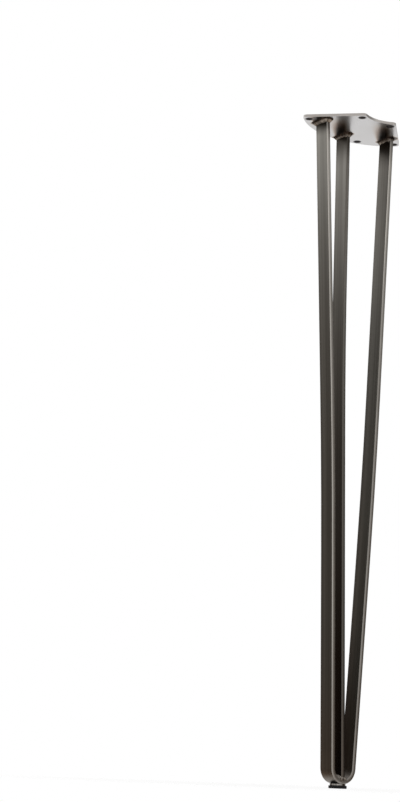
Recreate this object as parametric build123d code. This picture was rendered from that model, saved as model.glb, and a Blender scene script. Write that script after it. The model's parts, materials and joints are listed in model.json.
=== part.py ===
from build123d import *
import os
from math import asin, atan2, cos, degrees, hypot, radians, sin, sqrt

# Three-bar hairpin table leg. Millimetres, +Z up, origin on the floor under the middle of the foot.
# X runs across the hairpin, +Y points to the round edge of the plate and the third bar.

# Overall
overall_height = 711.0

# Mounting plate: a quarter disc with its square corner scooped away
plate_thickness = 3.0
plate_radius = 98.0
plate_corner_angle = 90.0
plate_corner_setback = 69.5
scoop_depth = 27.5
scoop_radius = 38.5
ear_radius = 5.0
tip_radius = 4.5
hole_diameter = 7.0
hole_edge_distance = 6.0
ear_hole_run = 34.5
arc_hole_angle = 15.2

# Hot-rolled flat bar for all three uprights, with crowned edges and a slight bow
bar_width = 19.0
bar_thickness = 4.4
bar_edge_crown = 0.55
bow_radius = 6000.0

# Hairpin: one bar bent into a narrow U, its tops set in from the two tips of the plate
bend_inner_radius = 11.5
hairpin_tip_margin = 23.5
hairpin_knee_height = 330.0
hairpin_knee_offset = -7.3
hairpin_top_offset = -5.5
foot_flat_depth = 0.25

# Third bar, standing inside the bend
centre_foot_offset = 0.6
centre_knee_height = 466.0
centre_knee_offset = 14.5
centre_top_offset = 14.7

# Weld beads
plate_weld_leg = 4.0
plate_weld_crown = 2.9
plate_weld_toe = 0.5
base_weld_height = 5.5
base_weld_reach = 5.0
base_weld_overrun = 0.9
foot_weld_margin = 0.8

# Foot: a steel disc with a pad stuck under it
disc_diameter = 16.4
disc_thickness = 2.1
disc_edge_chamfer = 0.3
pad_diameter = 18.7
pad_thickness = 2.95
pad_edge_chamfer = 0.5

# Levels and sections that follow from the pieces
plate_underside = overall_height - plate_thickness
foot_height = pad_thickness + disc_thickness
bend_outer_radius = bend_inner_radius + bar_thickness
bend_middle_radius = bend_inner_radius + bar_thickness / 2
bend_height = foot_height - foot_flat_depth + bend_outer_radius
bend_floor = bend_height - bend_inner_radius
half_thickness = bar_thickness / 2
flat_width = bar_width - 2 * bar_edge_crown
half_corner = plate_corner_angle / 2
half_spread = plate_radius * sin(radians(half_corner)) - hairpin_tip_margin

# Section of the bar: two flat faces joined by two arcs
half_flat = flat_width / 2
bar_outline = []
for side in (-1, 1):
    bar_outline.append(Line((half_flat, side * half_thickness), (-half_flat, side * half_thickness)))
    edge_start = (side * half_flat, -half_thickness)
    edge_end = (side * half_flat, half_thickness)
    bar_outline.append(ThreePointArc(edge_start, (side * bar_width / 2, 0), edge_end))
bar_section = make_face(bar_outline)


def swept_bar(path, width_direction):
    """The flat bar's section carried along a path, with its width in the given direction at the start."""
    start = Plane(origin=path @ 0, x_dir=width_direction, z_dir=path % 0)
    return sweep(start * bar_section, path=path)


def at_height(low, high, height):
    """The point at a height on the straight run through two points, or on its extension."""
    return low + (high - low) * ((height - low.Z) / (high.Z - low.Z))


def cut_at_plate(bar):
    """The bar sawn off level with the underside of the plate."""
    return split(bar, bisect_by=Plane.XY.offset(plate_underside), keep=Keep.BOTTOM)


def plate_weld(bar, middle):
    """A convex fillet bead all round the end of a bar, under the plate."""
    half_leg = plate_weld_leg / 2
    bead = Part()
    for drop, reach, next_reach in (
        (0, plate_weld_leg, plate_weld_crown),
        (half_leg, plate_weld_crown, plate_weld_toe),
    ):
        ring = Pos(middle.X, middle.Y, plate_underside - drop) * Rot(0, 0, 90) * offset(bar_section, reach)
        slope = degrees(atan2(reach - next_reach, half_leg))
        bead += extrude(ring, amount=half_leg, dir=(0, 0, -1), taper=slope)
    return bead - bar


# Hairpin bar
# Below its knees it lies in a plane that leans a little towards the scooped corner of the plate.
lean = atan2(-hairpin_knee_offset, hairpin_knee_height - bend_height)
across = Vector(1, 0, 0)
rise = Vector(0, -sin(lean), cos(lean))
back = Vector(0, cos(lean), sin(lean))
bend_centre = Vector(0, 0, bend_height)
leg_rise = plate_underside - bend_height
splay = atan2(half_spread, leg_rise) - asin(bend_middle_radius / hypot(half_spread, leg_rise))

hairpin_bar = Part()
leg_tops = []
bend_ends = []
for side in (-1, 1):
    outward = across * (side * cos(splay)) - rise * sin(splay)
    upward = across * (side * sin(splay)) + rise * cos(splay)
    leg_start = bend_centre + outward * bend_middle_radius
    knee = at_height(leg_start, leg_start + upward, hairpin_knee_height)
    target = Vector(side * half_spread, hairpin_top_offset, plate_underside)
    top = target - outward * (target - leg_start).dot(outward)
    leg_end = at_height(knee, top, plate_underside + bar_thickness)
    leg_path = FilletPolyline(leg_start, knee, leg_end, radius=bow_radius)
    hairpin_bar += swept_bar(leg_path, back)
    leg_tops.append(top)
    bend_ends.append(leg_start)
bend_path = ThreePointArc(bend_ends[0], bend_centre - rise * bend_middle_radius, bend_ends[1])
hairpin_bar += swept_bar(bend_path, back)
hairpin_bar = cut_at_plate(hairpin_bar)

# The underside of the bend is ground flat where the foot is welded on
hairpin_bar = split(hairpin_bar, bisect_by=Plane.XY.offset(foot_height), keep=Keep.TOP)

# Centre bar
# Its lower end is coped to the inside of the bend.
centre_foot = Vector(0, centre_foot_offset, bend_floor)
centre_knee = Vector(0, centre_knee_offset, centre_knee_height)
centre_top = Vector(0, centre_top_offset, plate_underside)
centre_path = FilletPolyline(
    at_height(centre_foot, centre_knee, bend_floor - bar_thickness),
    centre_knee,
    at_height(centre_knee, centre_top, plate_underside + bar_thickness),
    radius=bow_radius,
)
centre_direction = centre_path % 0
centre_bar = cut_at_plate(swept_bar(centre_path, Vector(0, centre_direction.Z, -centre_direction.Y)))
bend_bore = Plane(origin=bend_centre, x_dir=across, z_dir=back) * Cylinder(bend_inner_radius, 2 * bar_width)
below_bend_centre = Pos(0, 0, bend_height) * Box(
    2 * bend_inner_radius,
    2 * bar_width,
    bend_height,
    align=(Align.CENTER, Align.CENTER, Align.MAX),
)
centre_bar -= below_bend_centre - bend_bore

# Mounting plate
corner = Pos(0, -plate_corner_setback)
square = Rectangle(plate_radius, plate_radius, align=(Align.MIN, Align.MIN))
outline = corner * (Circle(plate_radius) & Rot(0, 0, half_corner) * square)
outline -= corner * Pos(0, scoop_depth - scoop_radius) * Circle(scoop_radius)
outline = fillet(outline.vertices().sort_by(Axis.Y)[:2], ear_radius)
across_plate = outline.vertices().sort_by(Axis.X)
outline = fillet([across_plate[0], across_plate[-1]], tip_radius)

hole_circle = plate_radius - hole_edge_distance
tip_hole_angle = half_corner - degrees(asin(hole_edge_distance / hole_circle))
ear_hole_angle = half_corner - degrees(atan2(hole_edge_distance, ear_hole_run))
ear_hole_distance = hypot(ear_hole_run, hole_edge_distance)
for distance, angle in (
    (hole_circle, tip_hole_angle),
    (hole_circle, arc_hole_angle),
    (ear_hole_distance, ear_hole_angle),
):
    for side in (-1, 1):
        place = Pos(side * distance * sin(radians(angle)), distance * cos(radians(angle)))
        outline -= corner * place * Circle(hole_diameter / 2)
mounting_plate = Pos(0, 0, plate_underside) * extrude(outline, amount=plate_thickness)

# Weld that holds the third bar in the bend: a bead along each face that wraps round the bar's two edges
bead_edge = half_thickness + base_weld_reach
bead_edge_height = bend_height - sqrt(bend_inner_radius**2 - bead_edge**2)
bead_profile = Polyline(
    (-bead_edge, bend_floor - half_thickness),
    (-bead_edge, bead_edge_height),
    (-half_thickness, bend_floor + base_weld_height),
    (half_thickness, bend_floor + base_weld_height),
    (bead_edge, bead_edge_height),
    (bead_edge, bend_floor - half_thickness),
    close=True,
)
bead_half_length = bar_width / 2 + base_weld_overrun
base_welds = extrude(Plane.XZ * make_face(bead_profile), amount=bead_half_length, both=True)
base_welds = base_welds & bend_bore
base_welds = base_welds - hairpin_bar - centre_bar

# Welds that fill the wedges between the bend and the foot disc
weld_pool = Circle(disc_diameter / 2 - foot_weld_margin) & Rectangle(disc_diameter, flat_width)
foot_welds = Pos(0, 0, foot_height) * extrude(weld_pool, amount=half_thickness) - hairpin_bar

# Foot
foot_disc = Pos(0, 0, pad_thickness) * extrude(Circle(disc_diameter / 2), amount=disc_thickness)
foot_disc = chamfer(foot_disc.edges().filter_by(GeomType.CIRCLE), disc_edge_chamfer)
foot_pad = extrude(Circle(pad_diameter / 2), amount=pad_thickness)
foot_pad = chamfer(foot_pad.edges().filter_by(GeomType.CIRCLE).sort_by(Axis.Z)[0], pad_edge_chamfer)

nodes = {
    "mounting_plate": mounting_plate,
    "hairpin_bar": hairpin_bar,
    "centre_bar": centre_bar,
    "left_plate_weld": plate_weld(hairpin_bar, leg_tops[0]),
    "right_plate_weld": plate_weld(hairpin_bar, leg_tops[1]),
    "centre_plate_weld": plate_weld(centre_bar, centre_top),
    "base_welds": base_welds,
    "foot_welds": foot_welds,
    "foot_disc": foot_disc,
    "foot_pad": foot_pad,
}
os.makedirs("parts", exist_ok=True)
for name, piece in nodes.items():
    export_step(piece, f"parts/{name}.step")
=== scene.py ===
import json
import math
import random
from functools import reduce
from types import SimpleNamespace
import bpy
from mathutils import Matrix, Vector


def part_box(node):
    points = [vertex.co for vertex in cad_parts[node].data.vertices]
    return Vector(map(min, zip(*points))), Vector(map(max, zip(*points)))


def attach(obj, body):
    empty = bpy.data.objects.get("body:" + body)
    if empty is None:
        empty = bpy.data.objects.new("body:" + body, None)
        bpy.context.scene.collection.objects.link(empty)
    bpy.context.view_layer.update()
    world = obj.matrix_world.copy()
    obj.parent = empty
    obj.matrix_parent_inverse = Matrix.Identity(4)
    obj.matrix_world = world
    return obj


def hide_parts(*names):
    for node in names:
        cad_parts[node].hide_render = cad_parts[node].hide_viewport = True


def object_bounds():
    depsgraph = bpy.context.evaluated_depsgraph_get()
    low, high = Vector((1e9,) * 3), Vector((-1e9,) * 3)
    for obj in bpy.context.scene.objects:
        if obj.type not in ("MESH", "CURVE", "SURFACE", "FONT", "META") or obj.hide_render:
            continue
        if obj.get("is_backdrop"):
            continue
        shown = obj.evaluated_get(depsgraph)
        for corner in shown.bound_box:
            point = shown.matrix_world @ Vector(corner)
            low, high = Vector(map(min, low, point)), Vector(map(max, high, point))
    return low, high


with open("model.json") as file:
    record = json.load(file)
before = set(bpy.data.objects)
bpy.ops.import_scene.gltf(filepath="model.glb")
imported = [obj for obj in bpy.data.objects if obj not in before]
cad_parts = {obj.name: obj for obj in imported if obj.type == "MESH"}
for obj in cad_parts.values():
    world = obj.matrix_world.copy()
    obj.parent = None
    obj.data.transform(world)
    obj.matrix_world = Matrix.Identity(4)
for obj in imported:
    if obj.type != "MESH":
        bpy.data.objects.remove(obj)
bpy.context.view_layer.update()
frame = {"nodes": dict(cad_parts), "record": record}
nodes = frame["nodes"]


# Mounting plate
# A quarter disc cut from 3 mm bright sheet steel, screwed up under a table top through six plain holes.
# Its faces keep a rolled sheen and its cut edges are dull; the rims and bores of its holes are darkened as
# painted shade. Welding has tinted it in rings round the three bar ends, and dark streaks from each bar end
# towards the near edge of its underside are a painted reflection of the bars.
class Shade:
    """A socket of a node tree, on which shader sums are written as plain expressions."""

    def __init__(self, tree, socket=None):
        self.tree = tree
        self.socket = socket

    def node(self, kind, settings, inputs, out=0):
        """Adds any node: its settings are set first, then the values or links of its sockets."""
        made = self.tree.nodes.new("ShaderNode" + kind)
        for name, value in settings.items():
            if name == "stops":
                ramp = made.color_ramp.elements
                while len(ramp) < len(value):
                    ramp.new(1.0)
                for stop, (place, colour) in zip(ramp, value):
                    stop.position = place
                    stop.color = colour
            else:
                setattr(made, name, value)
        for name, value in inputs.items():
            if isinstance(value, Shade):
                self.tree.links.new(value.socket, made.inputs[name])
            else:
                made.inputs[name].default_value = value
        return Shade(self.tree, made.outputs[out])

    def math(self, operation, *numbers):
        return self.node("Math", {"operation": operation}, dict(enumerate(numbers)))

    def vector(self, operation, other=(0, 0, 0), out="Vector"):
        return self.node("VectorMath", {"operation": operation}, {0: self, 1: other}, out)

    def __add__(self, other):
        return self.math("ADD", self, other)

    def __radd__(self, other):
        return self.math("ADD", other, self)

    def __sub__(self, other):
        return self.math("SUBTRACT", self, other)

    def __rsub__(self, other):
        return self.math("SUBTRACT", other, self)

    def __mul__(self, other):
        return self.math("MULTIPLY", self, other)

    def __rmul__(self, other):
        return self.math("MULTIPLY", other, self)

    def __truediv__(self, other):
        return self.math("DIVIDE", self, other)

    def __abs__(self):
        return self.math("ABSOLUTE", self)

    def root(self):
        return self.math("SQRT", self)

    def least(self, other):
        return self.math("MINIMUM", self, other)

    def most(self, other):
        return self.math("MAXIMUM", self, other)

    def part(self, axis):
        """One coordinate of a vector: 0, 1 or 2."""
        return self.node("SeparateXYZ", {}, {0: self}, axis)

    def step(self, start, end):
        """Goes smoothly from 0 at one value to 1 at another, which may be the lower of the two."""
        settings = {"interpolation_type": "SMOOTHSTEP"}
        return self.node("MapRange", settings, {"Value": self, "From Min": start, "From Max": end})

    def ramp(self, stops):
        return self.node("ValToRGB", {"stops": stops}, {0: self})

    def mix(self, below, above):
        """A colour between two, with this number as the share of the second."""
        return self.node("Mix", {"data_type": "RGBA"}, {0: self, 6: below, 7: above}, 2)

    def noise(self, lumps, detail=3.0):
        """Cloudy noise over this place, with so many lumps in a metre along each axis."""
        scaled = self.vector("MULTIPLY", lumps)
        return self.node("TexNoise", {}, {"Vector": scaled, "Scale": 1.0, "Detail": detail})

    def facing(self):
        """The direction in which the surface faces."""
        return self.node("NewGeometry", {}, {}, "Normal")

    def into(self, shader, name):
        self.tree.links.new(self.socket, shader.inputs[name])

    def bump(self, shader, strength, depth):
        """Raises and sinks the surface by this number."""
        inputs = {"Strength": strength, "Distance": depth, "Height": self}
        self.node("Bump", {}, inputs).into(shader, "Normal")


def new_finish(name, metal=1.0, gloss=0.5):
    """A material with its shader and the place on the piece. It is metal unless the call says otherwise."""
    material = bpy.data.materials.new(name)
    material.use_nodes = True
    tree = material.node_tree
    shader = tree.nodes["Principled BSDF"]
    shader.inputs["Metallic"].default_value = metal
    shader.inputs["Specular IOR Level"].default_value = gloss
    place = Shade(tree).node("TexCoord", {}, {}, "Object")
    return material, shader, place


def set_finish(piece, material):
    piece.data.materials.clear()
    piece.data.materials.append(material)


mm = 0.001
bright_steel = (0.565, 0.555, 0.553, 1)
dull_steel = (0.435, 0.415, 0.395, 1)
# Near black painted as the shade in and round the holes
hole_shade_black = (0.035, 0.03, 0.03, 1)
heat_tints = [
    (0.00, (0.014, 0.010, 0.008, 1)),
    (0.45, (0.018, 0.011, 0.007, 1)),
    (0.58, (0.060, 0.034, 0.021, 1)),
    (0.74, (0.26, 0.19, 0.145, 1)),
    (0.88, (0.49, 0.44, 0.40, 1)),
    (1.00, bright_steel),
]
tint_reach = 5.5 * mm
tint_wander = 2.5 * mm
tint_lost_on_top = 0.9
heat_lag = {"left_plate_weld": 1.5 * mm, "right_plate_weld": -0.5 * mm, "centre_plate_weld": 0.5 * mm}
# The settings below paint the bars' reflection as dark streaks on the underside, from each bar end towards
# the near edge
reflection_aside = {"left_plate_weld": 3.0 * mm, "right_plate_weld": 2.0 * mm, "centre_plate_weld": 0.5 * mm}
reflection_direction = Vector((-0.629, -0.777, 0))
reflection_start = (-8 * mm, 0)
reflection_fade = (4 * mm, 64 * mm)
reflection_near_side = (-6 * mm, 1 * mm)
reflection_far_side = 5 * mm
reflection_far_end = 11 * mm
reflection_fan = 0.2
reflection_share = 0.55
cloud_share = 0.16
cut_edge_share = 0.8
hole_shade_radii = (1.12, 1.45)
hole_shade_share = 0.85
bore_shade_extra = 0.1

plate_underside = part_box("mounting_plate")[0].z
bar_ends = {}
for weld_name in heat_lag:
    low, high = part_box(weld_name)
    weld_leg = high.z - low.z
    middle = (low + high) / 2
    middle.z = plate_underside
    bar_ends[weld_name] = (middle, (high - low) / 2 - Vector((weld_leg, weld_leg, 0)))

material, shader, place = new_finish("plate_steel")
facing_up = place.facing().part(2)
x, y = place.part(0), place.part(1)
bar_distances = []
painted_reflections = []
for weld_name, (middle, half_bar) in bar_ends.items():
    from_x, from_y = x - middle.x, y - middle.y
    beside = (abs(from_x) - half_bar.x).most(0)
    along = (abs(from_y - heat_lag[weld_name]) - half_bar.y).most(0)
    bar_distances.append((beside * beside + along * along).root())
    # Painted reflection of each bar: a dark streak from its end towards the near edge
    along_reflection = from_x * reflection_direction.x + from_y * reflection_direction.y
    aside = from_x * reflection_direction.y - from_y * reflection_direction.x - reflection_aside[weld_name]
    painted_reflection = along_reflection.step(*reflection_start) * (1 - along_reflection.step(*reflection_fade)) * aside.step(*reflection_near_side)
    painted_reflections.append(painted_reflection * (1 - aside.step(reflection_far_side, along_reflection * reflection_fan + reflection_far_end)))
hole_distances = []
for mount in frame["record"]["mounts"]:
    if mount["kind"] == "bolt_pattern":
        hole_radius = mount["dims"]["hole_r_mm"] * mm
        beside = abs(x) - mount["dims"]["spacing_x_mm"] * mm / 2
        along = y - mount["pos_m"][1]
        hole_distances.append(beside * beside + along * along)

underside = facing_up.step(0.5, -0.5)
wander = (place.noise((90, 90, 90)) - 0.5) * tint_wander
# Heat tint round the bar ends, darkened on the underside by the painted reflection of the bars
tint_and_reflection = (reduce(Shade.least, bar_distances) + wander) / tint_reach
tint_and_reflection = tint_and_reflection.least(1 - reflection_share * reduce(Shade.most, painted_reflections) * underside)
tint_and_reflection = tint_and_reflection + (1 - tint_and_reflection) * (1 - underside) * tint_lost_on_top
# Painted shade: the rims of the holes and, darker still, their bores, where the hole walls lie in shade
hole_shade_full, hole_shade_end = [(hole_radius * radius) ** 2 for radius in hole_shade_radii]
painted_hole_shade = 1 - reduce(Shade.least, hole_distances).step(hole_shade_full, hole_shade_end)
cut_edge = 1 - abs(facing_up).step(0.3, 0.8)
rolled = place.noise((60, 900, 900), 5)
cloudy = place.noise((35, 35, 35))
colour = tint_and_reflection.ramp(heat_tints)
colour = (cloudy.step(0.35, 0.75) * cloud_share).mix(colour, dull_steel)
colour = (cut_edge * cut_edge_share).mix(colour, dull_steel)
colour = (painted_hole_shade * (hole_shade_share + bore_shade_extra * cut_edge)).mix(colour, hole_shade_black)
colour.into(shader, "Base Color")
(0.235 + 0.07 * rolled + 0.05 * cloudy + 0.11 * cut_edge).into(shader, "Roughness")
rolled.bump(shader, 0.06, 0.05 * mm)
set_finish(nodes["mounting_plate"], material)

# Hairpin bar
# One length of hot-rolled flat bar, bent round a former into a narrow U that makes two of the uprights.
# Mill scale leaves it a dark brown grey with drawn lines along it. Its foot has browned, its top ends are
# scorched by the welds and darkened by painted shade under the plate, and handling has worn its corners
# bare, partly painted highlight. Painted shade blackens it inside the narrow U and towards the front edge
# of each face, and a paler band runs higher up.
scale_grey = (0.267, 0.259, 0.237, 1)
scale_dark = (0.164, 0.158, 0.142, 1)
# Near black painted as shade
painted_shade_black = (0.019, 0.012, 0.008, 1)
pale_grey = (0.50, 0.48, 0.45, 1)
# Bare steel for worn corners, also standing in as a painted highlight along them
bare_and_highlight_steel = (0.72, 0.70, 0.66, 1)
# Weld scorch, and painted shade under the plate
scorch_and_shade_black = (0.019, 0.015, 0.011, 1)
browned = (0.20, 0.15, 0.11, 1)
half_face = 9 * mm
line_stretch = 0.006
line_squash = 0.02
blotch_share = 0.3
band_share = 0.45
browned_share = 0.45
paler_band_share = 0.055
# Painted shade towards the front edge of each face
front_share = 0.2
front_share_lost = 0.1
shade_lost_on_edge = 0.5
edge_wear_least = 0.85
edge_wear_spread = 0.3
scorch_and_shade_wander = 6 * mm
scorch_and_shade_share = 0.92
scorch_and_shade_lost_on_edge = 0.4
hairpin_points = ((20.7 * mm, 0), (330 * mm, -7.3 * mm), (plate_underside, -5.5 * mm))
hairpin_edge_wear = 0.42
hairpin_scorch_and_shade = (14 * mm, 34 * mm)
narrow_end_dark = 0.42
narrow_back_dark = 0.56
plate_end_dark = 0.12
under_plate_dark = 0.5
under_plate_dark_lost_at_back = 0.15
outside_dark = 0.245
outside_lost_at_foot = 0.6
hairpin_edge_dark = 0.33
foot_corner_wear_and_highlight = 0.28
leg_corner_wear_and_highlight = 0.58
top_corner_wear_and_highlight = 0.85


def straight_run(height, start, end):
    """How far along Y a straight run of a bar stands at a height."""
    slope = (end[1] - start[1]) / (end[0] - start[0])
    return (height - start[0]) * slope + start[1]


def middle_line(height, foot, knee, top):
    """The middle of a bar along Y at a height: a straight run up to its knee and another above it."""
    lower = straight_run(height, foot, knee)
    upper = straight_run(height, knee, top)
    return lower + (upper - lower) * height.math("GREATER_THAN", height, knee[0])


def bar_finish(name, points, edge_wear, corner_wear_and_highlight, shaded, scorch_and_shade_reach):
    """Mill scale with drawn lines that follow the bar, with painted shade and painted highlight on it.

    points are the heights of the bar's foot, knee and top, each with its place along Y. edge_wear says how
    bright the narrow edges are, corner_wear_and_highlight how bright their corners are from wear and
    painted highlight, and shaded where painted shade blackens it. scorch_and_shade_reach is how far the
    weld scorch and the painted shade under the plate run down the bar, left and right.
    """
    material, shader, place = new_finish(name)
    facing = place.facing()
    x, y, z = place.part(0), place.part(1), place.part(2)
    side = facing.part(0)
    across = y - middle_line(z, *points)
    on_edge = abs(facing.part(1)).step(0.35, 0.75)
    on_face = 1 - on_edge
    spot = SimpleNamespace(x=x, z=z, across=across, side=side, on_edge=on_edge)

    along_face = place.node("CombineXYZ", {}, {0: x * line_squash, 1: across, 2: z * line_stretch})
    along_edge = place.node("CombineXYZ", {}, {0: x, 1: across * line_squash, 2: z * line_stretch})
    face_lines = along_face.noise((320, 320, 320), 5)
    edge_lines = along_edge.noise((700, 700, 700), 4)
    lines = face_lines + (edge_lines - face_lines) * on_edge
    bands = along_face.noise((140, 140, 140), 2)
    blotches = place.noise((60, 60, 18), 4)
    # A paler band on the faces between 430 and 680 mm
    paler_band = z.step(430 * mm, 560 * mm) * z.step(680 * mm, 580 * mm)
    # Painted shade: each face is darker towards its front edge
    front = across.step(half_face, -half_face)
    front = front * (front_share - front_share_lost * z.step(450 * mm, 600 * mm))
    patchy = edge_wear_least + edge_wear_spread * blotches.step(0.3, 0.6)
    corner = on_edge * abs(side).step(0.22, 0.42)
    left_reach, right_reach = scorch_and_shade_reach
    reach = x.step(-10 * mm, 10 * mm) * (right_reach - left_reach) + left_reach
    below_weld = (z + (blotches - 0.5) * scorch_and_shade_wander - plate_underside + weld_leg) / reach

    colour = lines.step(0.3, 0.7).mix(scale_dark, scale_grey)
    colour = (blotches.step(0.45, 0.75) * blotch_share).mix(colour, scale_dark)
    colour = (bands.step(0.4, 0.7) * on_face * band_share).mix(colour, scale_dark)
    colour = (z.step(140 * mm, 15 * mm) * browned_share).mix(colour, browned)
    colour = (paler_band * on_face * paler_band_share).mix(colour, pale_grey)
    colour = (front * on_face).mix(colour, painted_shade_black)
    # Painted shade: blackest inside the narrow U, under the plate and near the foot
    colour = (shaded(spot) * (1 - shade_lost_on_edge * on_edge)).mix(colour, painted_shade_black)
    colour = (on_edge * edge_wear * patchy).mix(colour, pale_grey)
    # Worn corners, brightened also as a painted highlight
    colour = (corner * corner_wear_and_highlight(spot)).mix(colour, bare_and_highlight_steel)
    # Weld scorch just under the plate, partly painted shade under the plate and bead
    colour = (below_weld.step(-1, 0) * (scorch_and_shade_share - scorch_and_shade_lost_on_edge * on_edge)).mix(colour, scorch_and_shade_black)
    colour.into(shader, "Base Color")
    (0.27 + 0.10 * lines + 0.06 * blotches + 0.06 * on_edge).into(shader, "Roughness")
    (lines + blotches * 0.5).bump(shader, 0.2, 0.05 * mm)
    return material


def hairpin_shade(spot):
    """Painted shade, darkest inside the narrow end, most of all at its back, and under the plate. Edges and
    outside darken too.
    """
    inside = (spot.side * spot.x).step(2 * mm, -2 * mm)
    right = spot.x.step(-5 * mm, 5 * mm)
    back = spot.across.step(-half_face, half_face)
    narrow_end = spot.z.step(220 * mm, 20 * mm) * (narrow_end_dark + narrow_back_dark * back)
    plate_end = spot.z.step(410 * mm, 520 * mm) * plate_end_dark
    # Painted shade on the right upright just under the plate
    under_plate_shade = spot.x.step(0, 10 * mm) * spot.z.step(450 * mm, 660 * mm)
    under_plate_shade = under_plate_shade * (under_plate_dark - under_plate_dark_lost_at_back * back)
    outside = (1 - inside) * spot.z.step(560 * mm, 250 * mm) * outside_dark
    outside = outside * (1 - outside_lost_at_foot * spot.z.step(45 * mm, 20 * mm))
    edges = spot.z.step(220 * mm, 30 * mm) + right * spot.z.step(540 * mm, 380 * mm)
    edges = edges * spot.on_edge * hairpin_edge_dark
    return inside * (narrow_end + plate_end + under_plate_shade) + outside + edges


def hairpin_wear_and_highlight(spot):
    """The outer corners of both uprights are worn, the corners near the plate bare; partly painted
    highlight.
    """
    left = spot.x.step(5 * mm, -5 * mm) * spot.side.step(0.2, -0.2)
    right = spot.x.step(-5 * mm, 5 * mm) * spot.side.step(-0.2, 0.2)
    above_foot = spot.z.step(40 * mm, 220 * mm)
    outer = left.most(right) * (above_foot * (leg_corner_wear_and_highlight - foot_corner_wear_and_highlight) + foot_corner_wear_and_highlight)
    return outer.most(spot.z.step(480 * mm, 600 * mm) * top_corner_wear_and_highlight)


material = bar_finish(
    "hairpin_steel", hairpin_points, hairpin_edge_wear, hairpin_wear_and_highlight, hairpin_shade, hairpin_scorch_and_shade
)
set_finish(nodes["hairpin_bar"], material)

# Centre bar
# A second length of the same flat bar, coped at its lower end to stand inside the bend of the hairpin.
# It carries the same mill scale, blackened by painted shade towards its foot and on its left face, and it
# leans back to the round edge of the plate.
centre_points = ((9.2 * mm, 0.6 * mm), (466 * mm, 14.5 * mm), (plate_underside, 14.7 * mm))
centre_edge_wear = 0.06
centre_scorch_and_shade = (35 * mm, 35 * mm)
centre_dark = 0.15
centre_lower_dark = 0.49
centre_foot_dark = 0.40
centre_upper_dark = 0.07
centre_right_share = 0.5
upper_edge_dark = 0.2
left_corner_dark = 0.55
right_corner_dark = 1.2
lower_corner_wear_and_highlight = 0.65
upper_corner_wear_and_highlight = 0.3


def centre_shade(spot):
    """Painted shade: the bar darkens down to its foot inside the U, and most of all on its left face."""
    left = spot.side.step(0.3, -0.3)
    lower = spot.z.step(560 * mm, 330 * mm) * centre_lower_dark
    foot = spot.z.step(420 * mm, 60 * mm) * centre_foot_dark
    upper = spot.z.step(400 * mm, 540 * mm) * centre_upper_dark
    faces = (lower + foot + centre_dark + upper) * (centre_right_share + (1 - centre_right_share) * left)
    upper_edge = spot.z.step(300 * mm, 480 * mm) * upper_edge_dark
    left_corner = spot.side.step(0.1, -0.35) * spot.z.step(40 * mm, 260 * mm) * left_corner_dark
    right_corner = spot.side.step(-0.05, 0.3) * spot.z.step(240 * mm, 60 * mm) * right_corner_dark
    return faces + spot.on_edge * (upper_edge + left_corner + right_corner)


def centre_wear_and_highlight(spot):
    """Only its right-hand corners are worn, and their brightness is partly painted highlight."""
    lower = spot.z.step(80 * mm, 280 * mm) * spot.z.step(540 * mm, 420 * mm)
    upper = spot.z.step(420 * mm, 540 * mm)
    return spot.side.step(-0.2, 0.2) * (lower * lower_corner_wear_and_highlight + upper * upper_corner_wear_and_highlight)


material = bar_finish(
    "centre_steel", centre_points, centre_edge_wear, centre_wear_and_highlight, centre_shade, centre_scorch_and_shade
)
set_finish(nodes["centre_bar"], material)

# Weld beads under the plate
# Each bar end is fillet-welded all round by hand: a string of small puddles, each frozen on the last.
# They are left as welded, brown to blue-black with oxide, and bare metal shines along their toes.
bead_oxide = (0.018, 0.012, 0.009, 1)
bead_brown = (0.080, 0.057, 0.042, 1)
bead_metal = (0.55, 0.50, 0.44, 1)
puddle_pitch = 1.5 * mm
puddle_half_length = 2.3 * mm
puddle_tail_from = -0.2
puddle_tail_stretch = (0.9, 1.25, 0.9)
puddle_sizes = (0.8, 1.2)
puddle_size_drift = 0.4
throat_crown = 1.2
bead_skin = 0.24 * mm
bead_height = 3.4 * mm
bead_sink = 1.0 * mm
bare_full = 2.6 * mm
bare_end_zone = 8 * mm
bare_least = 0.3
soften_passes = 3
corner_shares = (0.33, 0.67)
# In millimetres, on the sides +X, +Y, -X and -Y of a bar
bead_reaches = {
    "left_plate_weld": (3.2, 3.4, 4.6, 3.4),
    "right_plate_weld": (2.6, 1.2, 2.8, 0.9),
    "centre_plate_weld": (2.6, 3.0, 3.2, 2.2),
}
bead_shortness = {"left_plate_weld": 0.0, "right_plate_weld": 0.8 * mm, "centre_plate_weld": 0.0}
# How many millimetres below the plate bare metal starts, its share, and the end that has most of it
bead_bareness = {
    "left_plate_weld": (0.9, 0.95, -0.5),
    "right_plate_weld": (0.5, 1.0, 0.7),
    "centre_plate_weld": (1.4, 0.4, 0),
}
upright = Vector((0, 0, 1))
hand = random.Random(11)


def deselect_all():
    bpy.ops.object.select_all(action="DESELECT")


def new_puddle():
    """One frozen puddle: a flattened ball, its trailing side drawn out under the next one."""
    deselect_all()
    bpy.ops.mesh.primitive_uv_sphere_add(segments=20, ring_count=12, radius=1.0)
    puddle = bpy.context.object
    bpy.ops.object.mode_set(mode="EDIT")
    bpy.ops.mesh.select_all(action="DESELECT")
    bpy.ops.object.mode_set(mode="OBJECT")
    for vertex in puddle.data.vertices:
        vertex.select = vertex.co.y < puddle_tail_from
    bpy.ops.object.mode_set(mode="EDIT")
    bpy.ops.transform.resize(value=puddle_tail_stretch)
    bpy.ops.object.mode_set(mode="OBJECT")
    return puddle


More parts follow.
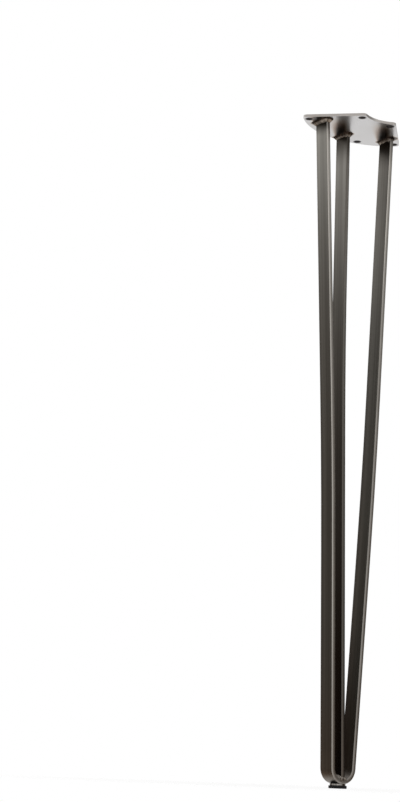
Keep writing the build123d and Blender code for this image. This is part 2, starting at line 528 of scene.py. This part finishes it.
def lay_bead(name, stations, rise):
    """Copies a puddle to each station, tilted to the face of the fillet, and fuses the copies.

    A station is a place in the corner, the way out from the bar, the reach in that direction and the height
    to which the bead climbs the bar in the direction of rise.
    """
    puddle = new_puddle()
    copies = []
    size = 1.0
    for place, outward, reach, height in stations:
        deselect_all()
        puddle.select_set(True)
        bpy.context.view_layer.objects.active = puddle
        bpy.ops.object.duplicate()
        copy = bpy.context.object
        size += (hand.uniform(*puddle_sizes) - size) * puddle_size_drift
        face_length = math.hypot(reach, height)
        face = (outward * height + rise * reach) / face_length
        along = (outward * reach - rise * height) / face_length
        throat = throat_crown * reach * height / face_length
        spread = max(reach, height) ** 2 / face_length / math.sqrt(1 - 1 / throat_crown**2)
        turn = Matrix((along, face.cross(along), face)).transposed().to_4x4()
        swell = Matrix.Diagonal((spread * size, puddle_half_length, throat * size, 1))
        copy.matrix_world = Matrix.Translation(place) @ turn @ swell
        copies.append(copy)
    bpy.data.objects.remove(puddle)
    deselect_all()
    for copy in copies:
        copy.select_set(True)
    bead = copies[0]
    bpy.context.view_layer.objects.active = bead
    bpy.ops.object.join()
    bpy.ops.object.transform_apply(location=True, rotation=True, scale=True)
    bead.name = name
    bead.data.name = name
    skin = bead.modifiers.new("skin", "REMESH")
    skin.mode = "VOXEL"
    skin.voxel_size = bead_skin
    bpy.ops.object.modifier_apply(modifier="skin")
    soften = bead.modifiers.new("soften", "SMOOTH")
    soften.iterations = soften_passes
    bpy.ops.object.modifier_apply(modifier="soften")
    bpy.ops.object.shade_smooth()
    return bead


def trim_behind(height, rise):
    """Cuts the new bead off level at a height, on the side it does not rise to, and closes the cut."""
    bpy.ops.object.mode_set(mode="EDIT")
    bpy.ops.mesh.select_all(action="SELECT")
    bpy.ops.mesh.bisect(plane_co=(0, 0, height), plane_no=-rise, use_fill=True, clear_outer=True)
    bpy.ops.object.mode_set(mode="OBJECT")


def bead_finish(name, root, rise, bare_from, bare_share, bare_end):
    """Oxide over most of a bead, and bare metal in patches along the toe that climbs the bar.

    bare_end is above 0 for a bead that is barest at its +Y end, below 0 for the other end, 0 for neither.
    """
    material, shader, place = new_finish(name)
    patches = place.noise((160, 160, 160), 4)
    flecks = place.noise((420, 420, 420), 3)
    grain = place.noise((1600, 1600, 1600), 3)
    toe = ((place.part(2) - root.z) * rise.z).step(bare_from, bare_full)
    dull_end = ((place.part(1) - root.y) * bare_end).step(bare_end_zone, -bare_end_zone)
    toe = toe * (1 - abs(bare_end) * dull_end)
    colour = flecks.step(0.4, 0.65).mix(bead_oxide, bead_brown)
    patchy = bare_least + (1 - bare_least) * patches.step(0.4, 0.6)
    colour = (toe * bare_share * patchy).mix(colour, bead_metal)
    colour.into(shader, "Base Color")
    (0.26 + 0.22 * grain).into(shader, "Roughness")
    grain.bump(shader, 0.2, 0.08 * mm)
    return material


def round_bar_end(middle, half_bar, legs):
    """Stations all round the end of a bar, in order, in the corner between the bar and what it stands on.

    legs holds the reach and the height of the bead on the four sides: +X, +Y, -X and -Y.
    """
    corners = [
        Vector((middle.x + half_bar.x * sx, middle.y + half_bar.y * sy, middle.z))
        for sx, sy in ((1, -1), (1, 1), (-1, 1), (-1, -1))
    ]
    stations = []
    for side in range(4):
        corner, following = corners[side], corners[(side + 1) % 4]
        leg, next_leg = Vector(legs[side]), Vector(legs[(side + 1) % 4])
        run = following - corner
        outward = run.normalized().cross(upright)
        count = round(run.length / puddle_pitch)
        for index in range(count):
            stations.append((corner + run * ((index + 0.5) / count), outward, *leg))
        for share in corner_shares:
            swing = Matrix.Rotation(share * math.pi / 2, 3, "Z")
            stations.append((following, swing @ outward, *leg.lerp(next_leg, share)))
    return stations


def finish_bead(bead, weld_name, material):
    set_finish(bead, material)
    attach(bead, "root")
    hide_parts(weld_name)


for weld_name, (middle, half_bar) in bar_ends.items():
    legs = [(reach * mm, bead_height) for reach in bead_reaches[weld_name]]
    short = Vector((0, bead_shortness[weld_name], 0))
    stations = round_bar_end(middle + short, half_bar - short, legs)
    bead_name = weld_name.replace("weld", "bead")
    bead = lay_bead(bead_name, stations, -upright)
    trim_behind(plate_underside + bead_sink, -upright)
    bare_from, bare_share, bare_end = bead_bareness[weld_name]
    material = bead_finish(bead_name, middle, -upright, bare_from * mm, bare_share, bare_end)
    finish_bead(bead, weld_name, material)

# Weld bead at the foot of the centre bar
# A bead along each face holds the bar's coped end in the bend of the hairpin. It is laid in puddles like
# the others, thins out towards the bar's two edges and wraps round them.
base_root_lift = 0.6 * mm
base_sink = 1.5 * mm
base_reach = 4.2 * mm
base_height = 4.6 * mm
wrap_places = (-1.2 * mm, 0, 1.2 * mm)
wrap_inset = 0.3 * mm
wrap_reach = 1.0 * mm
wrap_height = 1.4 * mm
base_bare_from = -3.0 * mm
base_bare_share = 0.5

base_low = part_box("base_welds")[0]
half_bar = bar_ends["centre_plate_weld"][1]
foot_corner = Vector((0, centre_points[0][1], base_low.z + base_root_lift))
face_count = round(2 * half_bar.y / puddle_pitch)
stations = []
for side in (-1, 1):
    for index in range(face_count):
        run = (2 * index + 1) / face_count - 1
        full = math.sqrt(1 - run**4)
        place = foot_corner + Vector((side * half_bar.x, run * half_bar.y, 0))
        stations.append((place, Vector((side, 0, 0)), base_reach * full, base_height * full))
for side in (-1, 1):
    for offset in wrap_places:
        place = foot_corner + Vector((offset, side * (half_bar.y - wrap_inset), 0))
        stations.append((place, Vector((0, side, 0)), wrap_reach, wrap_height))
bead = lay_bead("base_bead", stations, upright)
trim_behind(base_low.z - base_sink, upright)
material = bead_finish("base_weld_metal", foot_corner, upright, base_bare_from, base_bare_share, 0)
finish_bead(bead, "base_welds", material)

# Foot
# A small steel disc is welded under the bend, with weld metal in the two wedges beside the ground flat,
# painted near black as their shade. A black rubber pad is stuck under the disc to save the floor.
black_specks = ((0.006, 0.0055, 0.006, 1), (0.014, 0.013, 0.0135, 1))
steel_specks = (scale_dark, dull_steel)


def speckle(piece, finish, lumps, colours, roughness, roughness_spread):
    """Gives a piece a new finish of fine specks between two colours. Returns its shader and the specks."""
    material, shader, place = finish
    specks = place.noise(lumps, 4)
    specks.step(0.3, 0.7).mix(*colours).into(shader, "Base Color")
    (roughness + roughness_spread * specks).into(shader, "Roughness")
    set_finish(piece, material)
    return shader, specks


# Painted shade: the foot welds are near black where the gap between the bend and the disc lies in shade
shaded_weld_finish = new_finish("foot_weld_shade", metal=0.0, gloss=0.1)
speckle(nodes["foot_welds"], shaded_weld_finish, (500, 500, 500), black_specks, 0.7, 0.2)
disc_steel = new_finish("disc_steel")
speckle(nodes["foot_disc"], disc_steel, (900, 900, 300), steel_specks, 0.22, 0.15)
rubber = new_finish("pad_rubber", metal=0.0, gloss=0.2)
shader, grain = speckle(nodes["foot_pad"], rubber, (1400, 1400, 1400), black_specks, 0.6, 0.2)
grain.bump(shader, 0.3, 0.05 * mm)

# Camera
# It stands almost on the floor, nearly two metres from the leg, and looks up at it with a slight roll.
# Its place and its lens are fitted to the outline of the leg.
camera_yaw = math.radians(35.1492)
camera_pitch = math.radians(11.7690)
camera_roll = math.radians(2.2369)
camera_aside = -155.8477 * mm
camera_away = -1865.4538 * mm
camera_height = 10 * mm
focal_pixels = 1785.12
image_height = 802

heading = Vector((math.sin(camera_yaw), math.cos(camera_yaw), 0))
level_right = Vector((math.cos(camera_yaw), -math.sin(camera_yaw), 0))
ahead = heading * math.cos(camera_pitch) + upright * math.sin(camera_pitch)
level_up = upright * math.cos(camera_pitch) - heading * math.sin(camera_pitch)
camera_right = level_right * math.cos(camera_roll) + level_up * math.sin(camera_roll)
camera_up = level_up * math.cos(camera_roll) - level_right * math.sin(camera_roll)
camera_place = level_right * camera_aside + heading * camera_away + upright * camera_height
camera_turn = Matrix((camera_right, camera_up, -ahead)).transposed().to_4x4()
bpy.ops.object.camera_add()
camera = bpy.context.object
camera.matrix_world = Matrix.Translation(camera_place) @ camera_turn
camera.data.lens = camera.data.sensor_width * focal_pixels / image_height
bpy.context.scene.camera = camera

# Floor
# A round white table top under the leg, which fades out towards its rim.
# In the shine of the steel it fades out close to the foot, so that the steel mirrors the studio instead.
floor_radius = 0.45
floor_fade = (0.25 * floor_radius, 0.98 * floor_radius)
mirrored_fade = (8 * mm, 32 * mm)
floor_white = (0.92, 0.92, 0.92, 1)
pure_white = (1, 1, 1, 1)
glow_share = 0.88

deselect_all()
bpy.ops.mesh.primitive_circle_add(vertices=96, radius=floor_radius, fill_type="NGON")
floor = bpy.context.object
floor.name = "floor"
material, shader, place = new_finish("floor_white", metal=0.0)
material.node_tree.nodes.remove(shader)
from_foot = place.vector("LENGTH", out="Value")
mirrored = place.node("LightPath", {}, {}, "Is Glossy Ray")
seen = place.node("LightPath", {}, {}, "Is Camera Ray").most(mirrored)
rim = from_foot.step(*floor_fade)
rim = rim + (from_foot.step(*mirrored_fade) - rim) * mirrored
white = place.node("BsdfDiffuse", {}, {"Color": floor_white})
glow = place.node("Emission", {}, {"Color": pure_white, "Strength": 1.0})
surface = place.node("MixShader", {}, {0: seen * glow_share, 1: white, 2: glow})
clear = place.node("BsdfTransparent", {}, {})
faded = place.node("MixShader", {}, {0: rim, 1: surface, 2: clear})
faded.into(material.node_tree.nodes["Material Output"], "Surface")
set_finish(floor, material)
floor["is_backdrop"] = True

# Studio light
# A white backdrop stands behind the leg, the room behind the camera is bright, and both sides are dim and
# warm. One soft box hangs high on the left, behind the leg, and another high on the right, before it, so
# that the steel is brightest near the plate.
front_turn = math.radians(-165)
green_loss = 0.55
soft_box_size = 0.45
soft_box_aim = Vector((0, 0, 0.62))
soft_boxes = (
    (Vector((-0.50, 0.55, 1.05)), 0.75),
    (Vector((0.55, -0.70, 1.10)), 0.60),
)


def warm_white(brightness, warmth):
    return (brightness, brightness * (1 - green_loss * warmth), brightness * (1 - warmth), 1)


world = bpy.data.worlds.new("studio")
world.use_nodes = True
bpy.context.scene.world = world
direction = Shade(world.node_tree).node("TexCoord", {}, {}, "Generated")
level = direction.vector("MULTIPLY", (1, 1, 0)).vector("NORMALIZE")
front = heading * math.cos(front_turn) + level_right * math.sin(front_turn)
around = (level.vector("DOT_PRODUCT", front, "Value") * 0.5 + 0.5).ramp([
    (0.40, warm_white(0.07, 0.60)),
    (0.52, warm_white(0.10, 0.45)),
    (0.62, warm_white(0.40, 0.15)),
    (0.72, warm_white(0.85, 0.05)),
])
above = (direction.part(2) * 0.5 + 0.5).ramp([
    (0.18, warm_white(0.40, 0.40)),
    (0.33, warm_white(0.20, 0.50)),
    (0.42, warm_white(0.05, 0.60)),
    (0.50, warm_white(0.115, 0.48)),
    (0.57, warm_white(0.20, 0.28)),
    (0.63, warm_white(0.26, 0.12)),
    (0.69, warm_white(0.35, 0.03)),
    (0.80, warm_white(0.65, 0.0)),
    (0.95, warm_white(0.85, 0.0)),
])
lighten = {"data_type": "RGBA", "blend_type": "LIGHTEN"}
studio = around.node("Mix", lighten, {0: 1.0, 6: around, 7: above}, 2)
seen = direction.node("LightPath", {}, {}, "Is Camera Ray")
glossy = direction.node("LightPath", {}, {}, "Is Glossy Ray")
through_glass = direction.node("LightPath", {}, {}, "Is Transmission Ray")
backdrop = level.vector("DOT_PRODUCT", heading, "Value").step(0.62, 0.84)
light = seen.most(glossy.most(through_glass) * backdrop).mix(studio, pure_white)
light.into(world.node_tree.nodes["Background"], "Color")

for soft_box_place, soft_box_power in soft_boxes:
    deselect_all()
    bpy.ops.object.light_add(type="AREA")
    soft_box = bpy.context.object
    soft_box.data.shape = "DISK"
    soft_box.data.size = soft_box_size
    soft_box.data.energy = soft_box_power
    soft_box.visible_camera = False
    turn = (soft_box_aim - soft_box_place).to_track_quat("-Z", "Y").to_matrix().to_4x4()
    soft_box.matrix_world = Matrix.Translation(soft_box_place) @ turn

bpy.context.scene.view_settings.view_transform = "Standard"
low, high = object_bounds()
